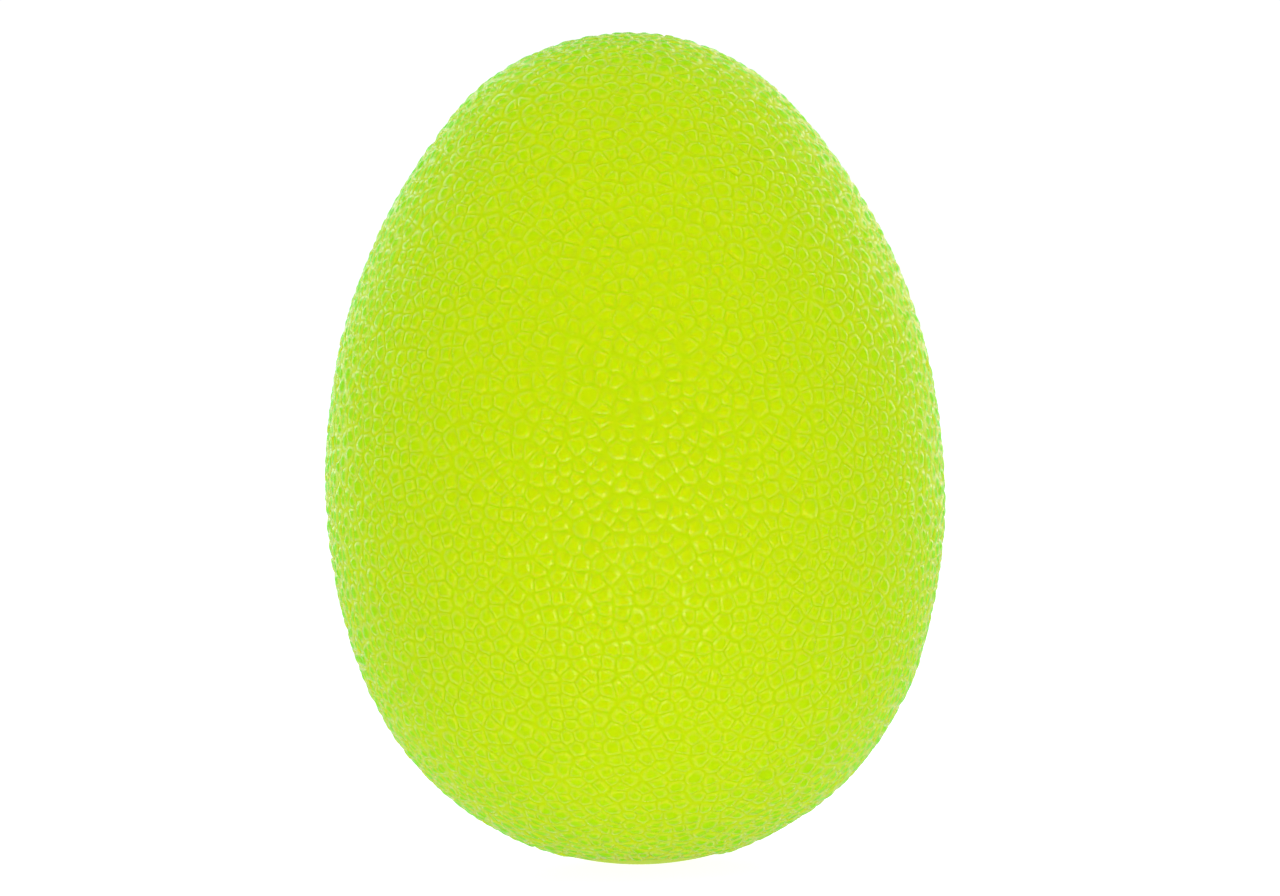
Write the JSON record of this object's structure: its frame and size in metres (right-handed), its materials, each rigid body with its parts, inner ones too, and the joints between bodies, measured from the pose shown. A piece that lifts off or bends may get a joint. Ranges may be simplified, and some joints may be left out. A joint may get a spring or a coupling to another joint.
{
  "type": "stress egg",
  "caption": "Egg-shaped squeeze toy: a pebbled soft rubber skin filled with gel and closed by a plug at the blunt end.",
  "frame": {"origin": "the lowest point of the blunt end, on the long axis", "axes": "+Z along the long axis from the blunt end to the narrow end; the egg is round about Z, so X and Y are free"},
  "size_m": [0.0448, 0.0448, 0.0605],
  "materials": {
    "skin_rubber": "translucent lime rubber with a fine moulded pebble texture and a soft sheen",
    "core_gel": "wet, clear-looking yellow-lime gel with a few small bubbles",
    "plug_rubber": "lime rubber, smooth where moulded and dimpled on its outer face",
    "adhesive": "pale flexible adhesive, slightly glossy"
  },
  "bodies": {
    "egg": {"outer_skin": "skin_rubber", "gel_core": "core_gel"},
    "plug": {"fill_plug": "plug_rubber", "plug_adhesive": "adhesive"}
  },
  "joints": [
    {"name": "end_squeeze", "type": "slide", "parent": "egg", "child": "plug", "axis": [0, 0, 1], "range_m": [0, 0.012], "stiffness_N_per_m": 2500, "deforming": ["outer_skin", "gel_core"]}
  ]
}
